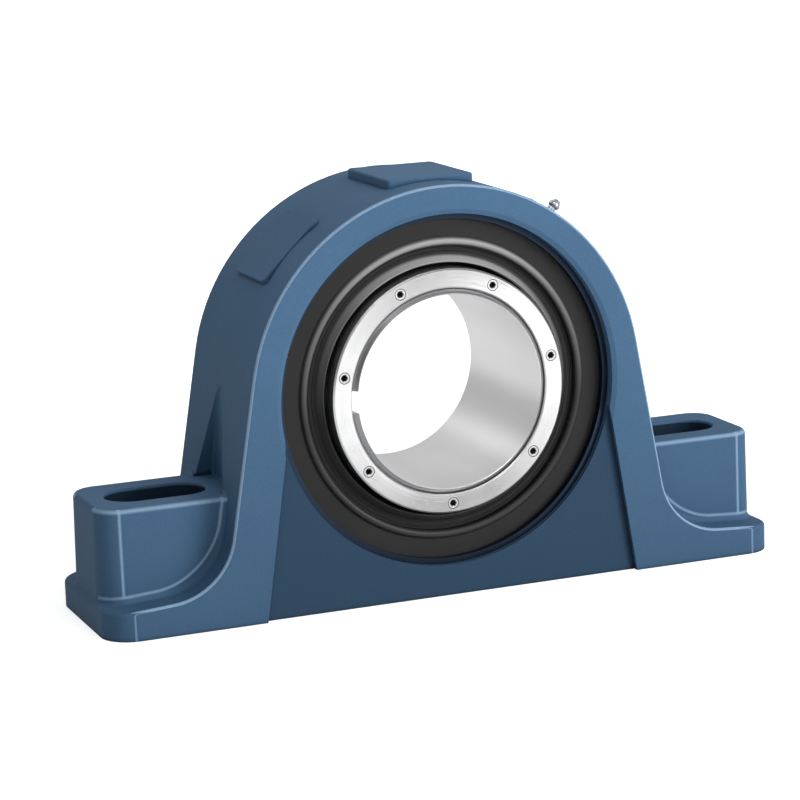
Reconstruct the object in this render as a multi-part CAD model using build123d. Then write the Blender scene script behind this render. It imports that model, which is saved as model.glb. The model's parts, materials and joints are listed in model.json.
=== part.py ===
from build123d import *
from math import cos, floor, pi, radians, sin, sqrt, tan
import os

# A one-piece pillow block with a double-row spherical roller bearing, held on its shaft by a slit,
# stepped sleeve and a collar with seven axial grub screws. Sizes are in millimetres.
# The origin is the centre of the base's underside. +X runs along the base, the shaft runs along Y with
# the collar at the -Y end, and +Z is up.

# Shaft and stepped sleeve
shaft_diameter = 100.0
sleeve_wall = 3.0
sleeve_slit = 11.5
sleeve_lead = 1.0            # sleeve's end in front of the collar's face
sleeve_nose = 2.4            # its outer chamfer there
sleeve_tail = 5.8            # sleeve's end behind the inner ring
bore_chamfer = 0.6
tooth_height = 0.9           # rise of each step on the sleeve
tooth_count = 5
tooth_relief = 0.8           # axial gap behind each step
sleeve_fit = 0.1             # radial gap between sleeve and inner ring

# Bearing
bearing_width = 46.0
track_allowance = 5.45       # from the top of a step to the inner track, along the line of contact
roller_diameter = 22.0
roller_length = 17.6
roller_chamfer = 0.8
roller_clearance = 0.15
contact_angle = 10.0         # degrees
outer_ring_wall = 8.35
ring_chamfer = 1.5
outer_ring_fit = 0.03
shoulder_height = 2.0        # of the inner ring beyond the tracks
inner_ring_lead = 6.2        # inner ring's front end beyond the bearing's width
inner_ring_tail = 16.0
oil_groove_width = 9.0
oil_groove_depth = 1.2
oil_hole_diameter = 5.0
oil_hole_count = 3

ball_overcut = 12.0          # metal left inside a ball-shaped seat before the ball is cut out

# Cages and guide ring
cage_gap = 0.35              # between a pocket and its roller
cage_rim = 1.8
cage_thickness = 6.0
roller_web = 3.4             # least metal between two rollers
guide_gap = 0.3
guide_ring_height = 8.5

# Collar and grub screws
collar_width = 12.8
collar_wall = 9.9
collar_setback = 1.6         # collar's face behind the housing's face
collar_chamfer = 0.8
collar_gap = 0.2             # between the sleeve and the collar
snap_rib_width = 2.6
snap_rib_height = 1.3
screw_count = 7
screw_diameter = 6.0
screw_length = 16.0
screw_gap = 0.05
screw_socket = 3.0           # across the flats
screw_socket_depth = 3.5
screw_cone = 1.2

# Seals
seal_gap = 0.35              # between the seal ring's ball face and its seat
seal_depth = 9.6             # width of the seal ring's ball face
seal_rear_gap = 1.4          # from the bearing's face to the seal ring
seal_wall = 3.0
lip_gap = 0.05
lip_width = 1.2
lip_thickness = 2.2
dust_lip_reach = 4.4
dust_lip_gap = 2.2           # between the collar and the dust lip
dust_lip_base = 4.0
dust_lip_tip = 0.8
lip_inset = 0.6              # from the seal ring's rear face to its lip
garter_flange = 0.3
garter_gap = 0.1
garter_wire = 1.8
carrier_depth = 13.2
carrier_fit = 0.05
bead_radius = 1.3
o_ring_section = 2.6
o_ring_width = 3.4
o_ring_rear = 5.0            # from the bearing's face to its groove

# Retaining rings
snap_ring_width = 4.0
snap_ring_height = 6.0
snap_ring_lip = 2.0          # how far it reaches in front of the seal carrier
snap_ring_gap = 3.0
snap_ring_fit = 0.1
snap_ring_start = 270.0      # degrees from the crown to the ends of its first turn, at the -X side
snap_ring_turn = 18.0        # degrees on to the ends of its second turn
opening_step = 1.0           # the opening is this much wider than the bearing
opening_depth = 6.5
opening_chamfer = 2.4
opening_chamfer_depth = 1.0

# Housing
seat_to_base = 17.0          # metal below the bearing
seat_to_crown = 16.8
arch_drop = 1.0              # the arch's centre below the shaft's axis
side_slope = 10.0            # degrees
flange_thickness = 14.0
flange_slope = 4.0           # degrees
flare_radius = 35.0
foot_reach = 78.7            # from the arch's side to the base's end
base_corner = 16.0
edge_radius = 1.8
shortest_edge = 5.0          # shorter outer edges stay sharp
pad_height = 63.0
pad_depth = 61.0
pad_inset = 2.0
pad_corner = 14.0
pad_draft = 1.0              # degrees
pad_edge = 2.5
pad_foot_radius = 3.0        # hollow corner round the pads' feet
slot_length = 53.0
slot_width = 28.0
slot_shift = 0.45            # slot's centre nearer the arch than the middle of the pad's top
pocket_width = 44.2          # of the bolt pocket in the side wall, at the pad
pocket_height = 60.0
pocket_radius = 2.0          # of its hollow corners
slot_edge = 1.2
touch = 0.02                 # a point this near to a surface counts as lying on it
panel_depth = 3.5
panel_half_width = 103.0     # at the base
panel_drop = 18.4            # from the shaft's axis to the panel's top edge, inside the opening
panel_slope = 8.9            # degrees
crown_pad_length = 48.0
crown_pad_depth = 56.0
crown_pad_rise = 2.2         # above the arch's crown
shoulder_angle = 44.0        # degrees from the crown
shoulder_length = 42.0
shoulder_depth = 43.0
shoulder_rise = 0.6
raised_root = 12.0           # depth of these raised flats into the casting
raised_corner = 3.0
crown_pad_edge = 1.2
shoulder_edge = 0.5

# Grease nipple
nipple_thread = 8.0
nipple_thread_length = 8.0
nipple_fit = 0.05
nipple_hexagon = 10.0
nipple_hexagon_height = 4.0
nipple_height = 12.6
nipple_neck = 4.6
nipple_head = 6.4
nipple_head_band = 1.2       # straight part of the head
nipple_undercut = 1.0
nipple_mouth_depth = 1.2     # from the tip to the valve ball
nipple_passage = 3.0
nipple_mouth = 1.6
ball_diameter = 2.2
ball_gap = 0.1
ball_travel = 0.6
spring_length = 4.0
spring_wire = 0.4
spring_turns = 4

# Sizes that follow from the ones above
shaft_radius = shaft_diameter / 2
sleeve_radius = shaft_radius + sleeve_wall
collar_bore = sleeve_radius + collar_gap
collar_radius = collar_bore + collar_wall
inner_track = sleeve_radius + tooth_height + track_allowance
roller_radius = roller_diameter / 2
pitch_distance = inner_track + roller_clearance + roller_radius
raceway_radius = inner_track + roller_diameter + 2 * roller_clearance
barrel_radius = raceway_radius - roller_clearance
roller_end_radius = sqrt(barrel_radius ** 2 - (roller_length / 2) ** 2) - pitch_distance
roller_offset = pitch_distance * sin(radians(contact_angle))
pitch_radius = pitch_distance * cos(radians(contact_angle))
roller_count = floor(2 * pi * pitch_radius / (roller_diameter + roller_web))
bearing_radius = raceway_radius + outer_ring_wall
seat_end = bearing_width / 2 + carrier_depth
groove_end = seat_end + snap_ring_width + 2 * snap_ring_fit
face = groove_end + opening_depth
housing_depth = 2 * face
opening_radius = bearing_radius + opening_step
snap_ring_radius = bearing_radius - snap_ring_lip + snap_ring_height
groove_radius = snap_ring_radius + 2 * snap_ring_fit
axis_height = bearing_radius + seat_to_base
arch_radius = bearing_radius + seat_to_crown
arch_centre = axis_height - arch_drop
collar_face = -face + collar_setback
collar_rear = collar_face + collar_width
inner_ring_front = bearing_width / 2 + inner_ring_lead
inner_ring_rear = bearing_width / 2 + inner_ring_tail
sleeve_front = collar_face - sleeve_lead
sleeve_rear = inner_ring_rear + sleeve_tail
screw_circle = (collar_bore + collar_radius) / 2
screw_front = -inner_ring_front - screw_length
base_half = arch_radius + foot_reach
slot_centre = arch_radius + (foot_reach - pad_inset) / 2 - slot_shift
seal_ball = raceway_radius - seal_gap
seal_rear = bearing_width / 2 + seal_rear_gap
seal_front = seal_rear + seal_depth
dust_lip_radius = collar_radius + dust_lip_gap
shaft_axis = Axis((0, 0, axis_height), (0, 1, 0))


def track_end(outward):
    """Place along the shaft and radius where a track meets its roller's end, 1 outer or -1 inner."""
    turn = radians(contact_angle)
    half = outward * roller_length / 2
    return inner_track * sin(turn) + half * cos(turn), inner_track * cos(turn) - half * sin(turn)


inner_ring_radius = track_end(-1)[1] + shoulder_height


def along_shaft(*points):
    """A ring turned about the shaft's axis from corners given as (place along Y, radius)."""
    section = Plane.YZ * Pos(0, axis_height) * make_face(Polyline(*points, close=True))
    return revolve(section, axis=shaft_axis)


def at_side(side, points):
    """The same corners measured from the bearing's centre towards one end, -1 front or 1 rear."""
    return [(side * place, radius) for place, radius in points]


def ball(radius):
    """A ball about the bearing's centre."""
    return Pos(0, 0, axis_height) * Sphere(radius)


def shaft_ring(radius, place, section_radius):
    """A round ring about the shaft's axis."""
    return Pos(0, place, axis_height) * Rot(90, 0, 0) * Torus(radius, section_radius)


def about_shaft(angle, shape):
    """Turn a shape that stands at the crown round the shaft's axis, positive towards +X."""
    return Pos(0, 0, axis_height) * Rot(0, angle, 0) * Pos(0, 0, -axis_height) * shape


def on_shoulder(angle, distance, shape):
    """Place a shape that points along its own +Z on the arch, at a distance from the arch's centre."""
    return Pos(0, 0, arch_centre) * Rot(0, angle, 0) * Pos(0, 0, distance) * shape


def ball_reach(radius, place):
    """Radius at which a ball about the bearing's centre is met at a place along the shaft."""
    return sqrt(radius ** 2 - place ** 2)


def housing_profile():
    """Front outline: arch, sides that lean outwards, concave flares and base flange."""
    slope = tan(radians(side_slope))
    fall = tan(radians(flange_slope))
    side_x = arch_radius * cos(radians(side_slope))
    side_z = arch_centre + arch_radius * sin(radians(side_slope))
    foot_x = (side_x + (side_z - flange_thickness - base_half * fall) * slope) / (1 - fall * slope)
    foot_z = flange_thickness + (base_half - foot_x) * fall
    right = [(base_half, 0), (base_half, flange_thickness), (foot_x, foot_z), (side_x, side_z)]
    left = [(-x, z) for x, z in reversed(right)]
    outline = Polyline(*left, *right)
    arch = ThreePointArc((side_x, side_z), (0, arch_centre + arch_radius), (-side_x, side_z))
    outer = make_face(outline + arch)
    corners = [corner for corner in outer.vertices() if abs(abs(corner.X) - foot_x) < touch]
    return fillet(corners, flare_radius)


def housing_body():
    """The casting's full-depth body with its rounded outer edges."""
    height = arch_centre + arch_radius
    body = extrude(Plane.XZ * housing_profile(), amount=housing_depth / 2, both=True)
    plan = extrude(RectangleRounded(2 * base_half, housing_depth, base_corner), amount=height)
    body = body & plan
    rim = []
    for edge in body.edges():
        above_base = edge.bounding_box().min.Z > flange_thickness / 2
        on_face = abs(edge.center().Y) > face - touch
        round_corner = abs(edge.center().Y) > face - base_corner and edge.center().Z < 2 * flange_thickness
        if above_base and (on_face or round_corner) and edge.length > shortest_edge:
            rim.append(edge)
    return fillet(rim, edge_radius)


def bolt_pockets():
    """Hollows in the two side walls that clear the bolt heads, narrowing to nothing at the top."""
    half = pocket_width / 2
    triangle = Polyline((-half, pad_height), (half, pad_height), (0, pad_height + pocket_height), close=True)
    pocket = extrude(Plane.YZ.offset(arch_radius) * make_face(triangle), amount=foot_reach)
    pocket = fillet(pocket.faces().sort_by(Axis.X)[0].edges(), pocket_radius)
    return pocket + mirror(pocket, about=Plane.YZ)


def foot_pads():
    """One drafted bar through the body, whose ends are the two foot pads."""
    plan = RectangleRounded(2 * (base_half - pad_inset), pad_depth, pad_corner)
    bar = extrude(plan, amount=pad_height, taper=pad_draft)
    return fillet(bar.faces().sort_by(Axis.Z)[-1].edges(), pad_edge)


def edges_through(shape, test):
    """Edges whose ends and middle all pass a test of their place."""
    return [edge for edge in shape.edges() if all(test(edge @ share) for share in (0, 0.5, 1))]


def soften_foot(shape):
    """Round the hollow corners where the pads' long walls stand on the flange, flares and sides."""
    top = pad_height - pad_edge

    def on_wall(point):
        wall = pad_depth / 2 - point.Z * tan(radians(pad_draft))
        return abs(abs(point.Y) - wall) < touch and point.Z < top + touch

    walls = edges_through(shape, on_wall)
    walls = [edge for edge in walls if edge.bounding_box().size.X > pad_foot_radius]
    return fillet([edge for edge in walls if edge.center().Z < top - touch], pad_foot_radius)


def soften_slots(shape):
    """Round the upper edges of the bolt slots."""
    def on_rim(point):
        along = abs(abs(point.X) - slot_centre) < slot_length / 2 + touch
        return along and abs(point.Y) < slot_width / 2 + touch and abs(point.Z - pad_height) < touch

    return fillet(edges_through(shape, on_rim), slot_edge)


def raised_flat(length, depth, edge):
    """A plate with rounded corners and top edge, whose top lies on its own XY plane."""
    plate = extrude(RectangleRounded(length, depth, raised_corner), amount=-raised_root)
    return fillet(plate.faces().sort_by(Axis.Z)[-1].edges(), edge)


def raised_flats():
    """Flat pads on the crown and on both shoulders."""
    crown = raised_flat(crown_pad_length, crown_pad_depth, crown_pad_edge)
    flats = on_shoulder(0, arch_radius + crown_pad_rise, crown)
    shoulder = raised_flat(shoulder_length, shoulder_depth, shoulder_edge)
    for angle in (-shoulder_angle, shoulder_angle):
        flats += on_shoulder(angle, arch_radius + shoulder_rise, shoulder)
    return flats


def housing_bore():
    """Everything turned out of the casting: bearing seat, ring grooves, openings and chamfers."""
    half = [
        (0, bearing_radius),
        (seat_end, bearing_radius),
        (seat_end, groove_radius),
        (groove_end, groove_radius),
        (groove_end, opening_radius),
        (face - opening_chamfer_depth, opening_radius),
        (face, opening_radius + opening_chamfer),
        (face + opening_depth, opening_radius + opening_chamfer),
    ]
    rear = half + [(face + opening_depth, 0), (0, 0)]
    return along_shaft(*rear) + along_shaft(*at_side(-1, rear))


def panel_recesses():
    """Shallow panels below the opening, front and rear, between two splayed legs."""
    top = axis_height - panel_drop
    half_top = panel_half_width - top * tan(radians(panel_slope))
    corners = [(-panel_half_width, 0), (panel_half_width, 0), (half_top, top), (-half_top, top)]
    panel = make_face(Polyline(*corners, close=True))
    front = extrude(Plane.XZ.offset(face - panel_depth) * panel, amount=2 * panel_depth)
    return front + mirror(front, about=Plane.XZ)


def bolt_slots():
    """The two long bolt holes through the foot pads."""
    slot = extrude(SlotOverall(slot_length, slot_width), amount=2 * pad_height, both=True)
    return Pos(slot_centre, 0, 0) * slot + Pos(-slot_centre, 0, 0) * slot


def nipple_holes():
    """Threaded hole for the grease nipple and the oil way on to the bearing's groove."""
    thread = Cylinder(nipple_thread / 2 + nipple_fit, nipple_thread_length + 1,
                      align=(Align.CENTER, Align.CENTER, Align.MAX))
    way = Cylinder(oil_hole_diameter / 2, 2 * seat_to_crown, align=(Align.CENTER, Align.CENTER, Align.MAX))
    holes = on_shoulder(shoulder_angle, arch_radius + shoulder_rise, thread)
    return holes + on_shoulder(shoulder_angle, arch_radius, way)


def make_housing():
    shape = soften_foot(housing_body() + foot_pads()) - bolt_pockets() + raised_flats()
    shape = shape - panel_recesses() - housing_bore() - bolt_slots() - nipple_holes()
    return soften_slots(shape)


def make_outer_ring():
    """Outer ring with a ball-shaped raceway, an oil groove and three oil holes."""
    radius = bearing_radius - outer_ring_fit
    edge = bearing_width / 2
    groove = oil_groove_width / 2
    half = [
        (groove, radius - oil_groove_depth),
        (groove, radius),
        (edge - ring_chamfer, radius),
        (edge, radius - ring_chamfer),
        (edge, ball_reach(raceway_radius, edge)),
    ]
    outside = Polyline(*at_side(-1, reversed(half)), *half)
    raceway = ThreePointArc(outside @ 1, (0, raceway_radius), outside @ 0)
    section = Plane.YZ * Pos(0, axis_height) * make_face(outside + raceway)
    ring = revolve(section, axis=shaft_axis)
    hole = Pos(0, 0, axis_height) * Cylinder(oil_hole_diameter / 2, 2 * radius,
                                             align=(Align.CENTER, Align.CENTER, Align.MIN))
    for index in range(oil_hole_count):
        ring -= about_shaft(shoulder_angle + index * 360 / oil_hole_count, hole)
    return ring


def roller_outline(gap=0.0):
    """Barrel outline of a roller, half of it, with its axis along local X."""
    half = roller_length / 2 + gap
    end_radius = roller_end_radius + gap
    arc = ThreePointArc((-half, end_radius), (0, roller_radius + gap), (half, end_radius))
    sides = Polyline((half, end_radius), (half, 0), (-half, 0), (-half, end_radius))
    return make_face(arc + sides)


def tilted(side, shape):
    """Bring a shape from the roller's own axis to its place at the crown of one row."""
    turn = Rot(0, 0, 90 * side) * shape
    return Pos(0, side * roller_offset, axis_height + pitch_radius) * Rot(-side * contact_angle, 0, 0) * turn


def make_roller(side, gap=0.0):
    return tilted(side, revolve(roller_outline(gap), axis=Axis.X))


def row_angles(side):
    """Where the rollers of one row stand; the rear row lies half a step on."""
    step = 360 / roller_count
    return [(index + 0.25 * (1 + side)) * step for index in range(roller_count)]


def make_rollers(side):
    """One row of barrel rollers, each a separate solid with chamfered ends."""
    blank = revolve(roller_outline(), axis=Axis.X)
    rims = [edge for edge in blank.edges() if edge.geom_type == GeomType.CIRCLE]
    rims = [edge for edge in rims if abs(abs(edge.center().X) - roller_length / 2) < 0.01]
    roller = tilted(side, chamfer(rims, roller_chamfer))
    return Compound([about_shaft(angle, roller).solid() for angle in row_angles(side)])


def track_cut(side):
    """The track of one row, turned with the roller's own outline."""
    gap = roller_clearance
    full = roller_outline(gap) + mirror(roller_outline(gap), about=Plane.XZ)
    section = Pos(side * roller_offset, axis_height + pitch_radius) * Rot(0, 0, -side * contact_angle) * full
    return revolve(Plane.YZ * section, axis=shaft_axis)


def step_points(start, end, base):
    """Corners of the steps along a sleeve or bore, each rising towards the rear."""
    pitch = (end - start) / tooth_count
    corners = []
    for index in range(tooth_count):
        begin = start + index * pitch
        corners.append((begin, base))
        corners.append((begin + pitch - tooth_relief, base + tooth_height))
        corners.append((begin + pitch - tooth_relief, base))
    return corners


def bore_points(start, end, base):
    """Corners of the stepped bore that faces those steps."""
    pitch = (end - start) / tooth_count
    corners = []
    for index in range(tooth_count):
        begin = start + index * pitch
        corners.append((begin, base))
        corners.append((begin + pitch, base + tooth_height * pitch / (pitch - tooth_relief)))
    return corners


def make_inner_ring():
    """Inner ring with both roller tracks outside and the stepped bore inside."""
    shoulder = track_end(1)[0]
    land = track_end(-1)[1]
    outer = [
        (inner_ring_rear, inner_ring_radius - ring_chamfer),
        (inner_ring_rear - ring_chamfer, inner_ring_radius),
        (shoulder, inner_ring_radius),
        (shoulder, land),
        (-shoulder, land),
        (-shoulder, inner_ring_radius),
        (ring_chamfer - inner_ring_front, inner_ring_radius),
        (-inner_ring_front, inner_ring_radius - ring_chamfer),
    ]
    bore = bore_points(-inner_ring_front, inner_ring_rear, sleeve_radius + sleeve_fit)
    return along_shaft(*bore, *outer) - track_cut(-1) - track_cut(1)


def make_cage(side):
    """Comb cage: a rim outside the rollers with prongs between them."""
    half = cage_thickness / 2
    inner_end = -roller_length / 2 + cage_rim
    outer_end = roller_length / 2 + cage_gap + cage_rim
    bar = make_face(Polyline((inner_end, -half), (outer_end, -half), (outer_end, half), (inner_end, half),
                             close=True))
    place = Pos(side * roller_offset, axis_height + pitch_radius) * Rot(0, 0, -side * contact_angle)
    section = place * (bar if side > 0 else mirror(bar, about=Plane.YZ))
    cage = revolve(Plane.YZ * section, axis=shaft_axis)
    pocket = make_roller(side, cage_gap)
    for angle in row_angles(side):
        cage -= about_shaft(angle, pocket)
    return cage


def make_guide_ring():
    """Wedge-shaped ring that floats between the inner ends of the two rows."""
    place, land = track_end(-1)
    low = land + guide_gap
    high = low + guide_ring_height
    narrow = place - guide_gap
    wide = narrow + guide_ring_height * tan(radians(contact_angle))
    return along_shaft((-narrow, low), (narrow, low), (wide, high), (-wide, high))


def sleeve_slot():
    """The slit that lets the sleeve close on the shaft, at the -X side."""
    length = 4 * face
    slot = Box(2 * shaft_radius, length, sleeve_slit, align=(Align.MAX, Align.CENTER, Align.CENTER))
    return Pos(0, 0, axis_height) * slot


def make_stepped_sleeve():
    """Slit sleeve with a snap rib under the collar and rising steps under the inner ring."""
    rib = collar_face + (collar_width - snap_rib_width) / 2
    outer = [
        (sleeve_front, shaft_radius + bore_chamfer / 2),
        (sleeve_front, sleeve_radius - sleeve_nose),
        (sleeve_front + sleeve_nose, sleeve_radius),
        (rib, sleeve_radius),
        (rib, sleeve_radius + snap_rib_height),
        (rib + snap_rib_width, sleeve_radius + snap_rib_height),
        (rib + snap_rib_width, sleeve_radius),
    ]
    steps = step_points(-inner_ring_front, inner_ring_rear, sleeve_radius)
    inner = [
        (sleeve_rear - bore_chamfer, sleeve_radius),
        (sleeve_rear, sleeve_radius - bore_chamfer),
        (sleeve_rear, shaft_radius + bore_chamfer),
        (sleeve_rear - bore_chamfer, shaft_radius),
        (sleeve_front + bore_chamfer / 2, shaft_radius),
    ]
    return along_shaft(*outer, *steps, *inner) - sleeve_slot()


def screw_angles():
    """The screws are evenly spaced, with one at the bottom."""
    return [180 + index * 360 / screw_count for index in range(screw_count)]


def make_mounting_collar():
    """Collar that snaps over the sleeve's rib, with the threaded holes of the grub screws."""
    rib = collar_face + (collar_width - snap_rib_width) / 2 - collar_gap
    rib_end = rib + snap_rib_width + 2 * collar_gap
    rib_radius = collar_bore + snap_rib_height
    collar = along_shaft(
        (collar_face, collar_bore + bore_chamfer),
        (collar_face, collar_radius - collar_chamfer),
        (collar_face + collar_chamfer, collar_radius),
        (collar_rear - collar_chamfer, collar_radius),
        (collar_rear, collar_radius - collar_chamfer),
        (collar_rear, collar_bore),
        (rib_end, collar_bore),
        (rib_end, rib_radius),
        (rib, rib_radius),
        (rib, collar_bore),
        (collar_face + bore_chamfer, collar_bore),
    )
    hole = Rot(90, 0, 0) * Cylinder(screw_diameter / 2 + screw_gap, 3 * collar_width)
    for angle in screw_angles():
        collar -= about_shaft(angle, Pos(0, collar_face, axis_height + screw_circle) * hole)
    return collar


def make_grub_screw(angle):
    """Socket screw with a cone point that bears on the inner ring's end."""
    radius = screw_diameter / 2
    body = Cylinder(radius, screw_length, align=(Align.CENTER, Align.CENTER, Align.MIN))
    ends = body.edges().filter_by(GeomType.CIRCLE).sort_by(Axis.Z)
    body = chamfer(ends[0], screw_cone)
    socket = extrude(RegularPolygon(screw_socket / 2, 6, major_radius=False), amount=screw_socket_depth)
    body -= Pos(0, 0, screw_length - screw_socket_depth) * socket
    body = Pos(0, -inner_ring_front, axis_height + screw_circle) * Rot(90, 0, 0) * body
    return about_shaft(angle, body)


def make_seal_ring(side):
    """Rubber seal ring that follows the shaft's tilt in a ball-shaped seat."""
    lip_radius = inner_ring_radius + lip_gap
    bore = dust_lip_radius
    web = seal_front - seal_wall
    spring_floor = lip_radius + lip_thickness
    lip_start = seal_rear + lip_inset
    spring_start = lip_start + garter_flange
    spring_end = spring_start + garter_wire + 2 * garter_gap
    lip_end = lip_start + 2 * lip_width
    rim = ball_reach(seal_ball, seal_rear) - seal_wall
    section = [
        (seal_rear, rim),
        (seal_rear, seal_ball),
        (seal_front, seal_ball),
        (seal_front, bore + dust_lip_base),
        (seal_front + dust_lip_reach, bore + dust_lip_tip),
        (seal_front + dust_lip_reach, bore),
        (web - lip_thickness / 2, bore),
        (lip_end + lip_width, lip_radius + lip_width),
        (lip_end, lip_radius),
        (lip_end - lip_width, lip_radius),
        (lip_start, lip_radius + lip_width),
        (lip_start, spring_floor + garter_wire / 2),
        (spring_start, spring_floor + garter_wire / 2),
        (spring_start, spring_floor),
        (spring_end, spring_floor),
        (spring_end, spring_floor + garter_wire / 2),
        (web, bore + lip_thickness),
        (web, rim),
    ]
    return along_shaft(*at_side(side, section)) & ball(seal_ball)


def make_garter_spring(side):
    """Closed coil spring that holds the lip down, drawn as its outer tube."""
    place = seal_rear + lip_inset + garter_flange + garter_gap + garter_wire / 2
    radius = inner_ring_radius + lip_gap + lip_thickness + garter_wire / 2 + lip_gap
    return shaft_ring(radius, side * place, garter_wire / 2)


def make_seal_carrier(side):
    """Carrier pressed into the housing: ball-shaped seat inside, O-ring groove outside, bead in front."""
    radius = bearing_radius - carrier_fit
    rear = bearing_width / 2
    front = seat_end
    groove = rear + o_ring_rear
    inner = ball_reach(raceway_radius, seal_front)
    section = [
        (rear, inner - ball_overcut),
        (rear, radius),
        (groove, radius),
        (groove, radius - o_ring_section),
        (groove + o_ring_width, radius - o_ring_section),
        (groove + o_ring_width, radius),
        (front, radius),
        (front, inner + bead_radius),
        (seal_front, inner + bead_radius),
        (seal_front, inner - ball_overcut),
    ]
    bead = shaft_ring(inner + 1.5 * bead_radius, side * front, bead_radius)
    return along_shaft(*at_side(side, section)) + bead - ball(raceway_radius)


def make_o_ring(side):
    place = bearing_width / 2 + o_ring_rear + o_ring_width / 2
    section_radius = o_ring_section / 2 - carrier_fit / 2
    return shaft_ring(bearing_radius - carrier_fit - o_ring_section / 2, side * place, section_radius)


def make_retaining_ring(side):
    """Spiral ring of two turns; each turn has its own end gap."""
    inner = snap_ring_radius - snap_ring_height
    start = seat_end + snap_ring_fit
    middle = start + snap_ring_width / 2
    end = start + snap_ring_width
    turns = []
    for index, (low, high) in enumerate([(start, middle), (middle, end)]):
        corners = [(low, inner), (low, snap_ring_radius), (high, snap_ring_radius), (high, inner)]
        gap = Pos(0, 0, axis_height) * Box(snap_ring_gap, 3 * face, snap_ring_radius + 1,
                                           align=(Align.CENTER, Align.CENTER, Align.MIN))
        turn = along_shaft(*at_side(side, corners))
        turns.append(turn - about_shaft(snap_ring_start + index * snap_ring_turn, gap))
    return turns[0] + turns[1]


def nipple_place(shape):
    """Bring a shape that stands on its own XY plane to the nipple's seat on the right shoulder."""
    return on_shoulder(shoulder_angle, arch_radius + shoulder_rise, shape)


def make_grease_nipple():
    """Straight nipple: threaded shank, hexagon, neck and coned head with a drilled passage."""
    shank = Cylinder(nipple_thread / 2, nipple_thread_length, align=(Align.CENTER, Align.CENTER, Align.MAX))
    hexagon = extrude(RegularPolygon(nipple_hexagon / 2, 6, major_radius=False), amount=nipple_hexagon_height)
    band_low = nipple_height - (nipple_head + nipple_head_band) / 2
    head = revolve(make_face(Plane.XZ * Polyline(
        (0, 0),
        (nipple_neck / 2, 0),
        (nipple_neck / 2, band_low - nipple_undercut),
        (nipple_head / 2, band_low),
        (nipple_head / 2, band_low + nipple_head_band),
        (nipple_mouth, nipple_height),
        (0, nipple_height),
        close=True,
    )), axis=Axis.Z)
    passage = Pos(0, 0, -nipple_thread_length) * Cylinder(
        nipple_passage / 2, nipple_thread_length + ball_seat() + ball_diameter / 2,
        align=(Align.CENTER, Align.CENTER, Align.MIN))
    mouth = Cylinder(nipple_mouth / 2, nipple_height, align=(Align.CENTER, Align.CENTER, Align.MIN))
    return nipple_place(shank + hexagon + head - passage - mouth)


def ball_seat():
    """Height of the valve ball's centre above the nipple's seat, with the ball closed."""
    return nipple_height - nipple_mouth_depth - ball_diameter / 2


def make_nipple_ball():
    """Valve ball just under the mouth."""
    return nipple_place(Pos(0, 0, ball_seat()) * Sphere(ball_diameter / 2))


def make_nipple_spring():
    """Spring under the ball, at its pressed length so that the ball can travel."""
    coil = (nipple_passage - spring_wire) / 2 - ball_gap
    top = ball_seat() - ball_diameter / 2 - ball_travel - ball_gap - spring_wire / 2
    path = Helix(spring_length / spring_turns, spring_length, coil)
    wire = sweep(Plane(origin=path @ 0, z_dir=path % 0) * Circle(spring_wire / 2), path=path)
    return nipple_place(Pos(0, 0, top - spring_length) * wire)


pieces = {
    "housing": make_housing(),
    "outer_ring": make_outer_ring(),
    "inner_ring": make_inner_ring(),
    "guide_ring": make_guide_ring(),
    "stepped_sleeve": make_stepped_sleeve(),
    "mounting_collar": make_mounting_collar(),
    "grease_nipple": make_grease_nipple(),
    "nipple_ball": make_nipple_ball(),
    "nipple_spring": make_nipple_spring(),
}
for name, side in (("front", -1), ("rear", 1)):
    pieces[f"rollers_{name}"] = make_rollers(side)
    pieces[f"cage_{name}"] = make_cage(side)
    pieces[f"seal_ring_{name}"] = make_seal_ring(side)
    pieces[f"garter_spring_{name}"] = make_garter_spring(side)
    pieces[f"seal_carrier_{name}"] = make_seal_carrier(side)
    pieces[f"o_ring_{name}"] = make_o_ring(side)
    pieces[f"retaining_ring_{name}"] = make_retaining_ring(side)
for index, angle in enumerate(screw_angles()):
    pieces[f"grub_screw_{index + 1}"] = make_grub_screw(angle)

os.makedirs("parts", exist_ok=True)
for node, shape in pieces.items():
    export_step(shape, f"parts/{node}.step")
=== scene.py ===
import json
from math import cos, radians, sin, sqrt, tan, tau

import bmesh
import bpy
from mathutils import Matrix, Vector

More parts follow.
